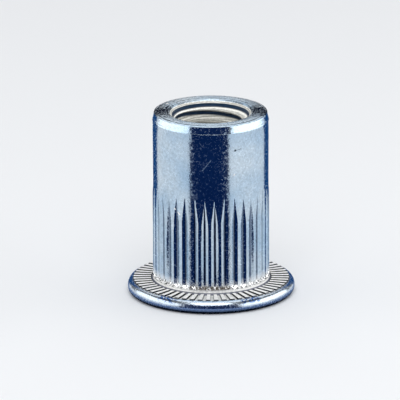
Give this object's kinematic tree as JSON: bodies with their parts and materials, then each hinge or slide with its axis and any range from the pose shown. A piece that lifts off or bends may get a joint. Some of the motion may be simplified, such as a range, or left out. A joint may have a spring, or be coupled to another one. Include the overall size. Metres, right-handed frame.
{
  "type": "rivet nut",
  "caption": "Flat-head rivet nut: a hollow knurled barrel with a thread at its far end and a serrated flange, set in a sheet's hole to give it a strong thread.",
  "frame": {"origin": "centre of the head's flat outer face", "axes": "+Z along the bore, from the head to the threaded end; X and Y are any two directions across it, with a knurl groove and a rib of the head on +X"},
  "size_m": [0.013, 0.013, 0.0146],
  "materials": {
    "zinc_steel": "bright zinc plate with a pale blue tint"
  },
  "bodies": {
    "root": {"rivet_nut": "zinc_steel"}
  },
  "joints": []
}
